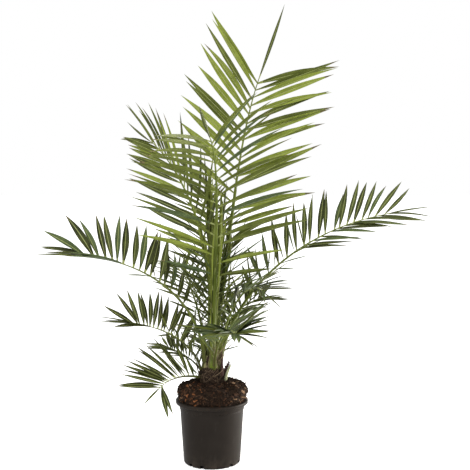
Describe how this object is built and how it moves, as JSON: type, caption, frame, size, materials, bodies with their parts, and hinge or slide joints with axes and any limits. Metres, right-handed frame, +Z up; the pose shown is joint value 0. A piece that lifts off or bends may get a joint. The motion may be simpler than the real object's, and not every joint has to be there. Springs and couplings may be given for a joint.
{
  "type": "potted canary island date palm",
  "caption": "Young feather palm with arching fronds of narrow leaflets rising from a fibrous stem base, standing in a round plastic nursery pot filled with compost.",
  "frame": {"origin": "centre of the flat underside of the pot, on the surface that it stands on", "axes": "+Z up along the stem, -Y towards the plant's front, +X to the right seen from the front"},
  "size_m": [1.3535, 1.0256, 1.5721],
  "materials": {
    "pot_plastic": "dark brown-black moulded plastic with a soft satin sheen and faint scuffs",
    "compost": "moist dark compost with bark chips and coir",
    "stem_fibre": "dark brown net of leaf fibres over the swollen stem base",
    "dry_petiole": "dry brown leaf stalk",
    "green_petiole": "pale green cut leaf stalk, dry at its edge",
    "leaf_green": "waxy green leaflets with pale midribs"
  },
  "bodies": {
    "root": {"pot": "pot_plastic", "soil": "compost", "stem_base": "stem_fibre", "dry_sheath": "dry_petiole", "stub_back": "dry_petiole", "stub_front": "green_petiole", "stub_right": "green_petiole", "frond_tall_front": "leaf_green", "frond_tall_back": "leaf_green", "frond_right_long": "leaf_green", "frond_left_long": "leaf_green", "frond_left_low": "leaf_green", "frond_left_lowest": "leaf_green", "frond_right_front": "leaf_green", "frond_front_low": "leaf_green", "frond_upper_left": "leaf_green", "frond_spear_back": "leaf_green", "frond_spear_right": "leaf_green", "frond_left_short": "leaf_green", "frond_back_upper": "leaf_green", "frond_back_right": "leaf_green", "frond_back_left": "leaf_green", "frond_back_low": "leaf_green", "frond_right_low": "leaf_green"}
  },
  "joints": []
}
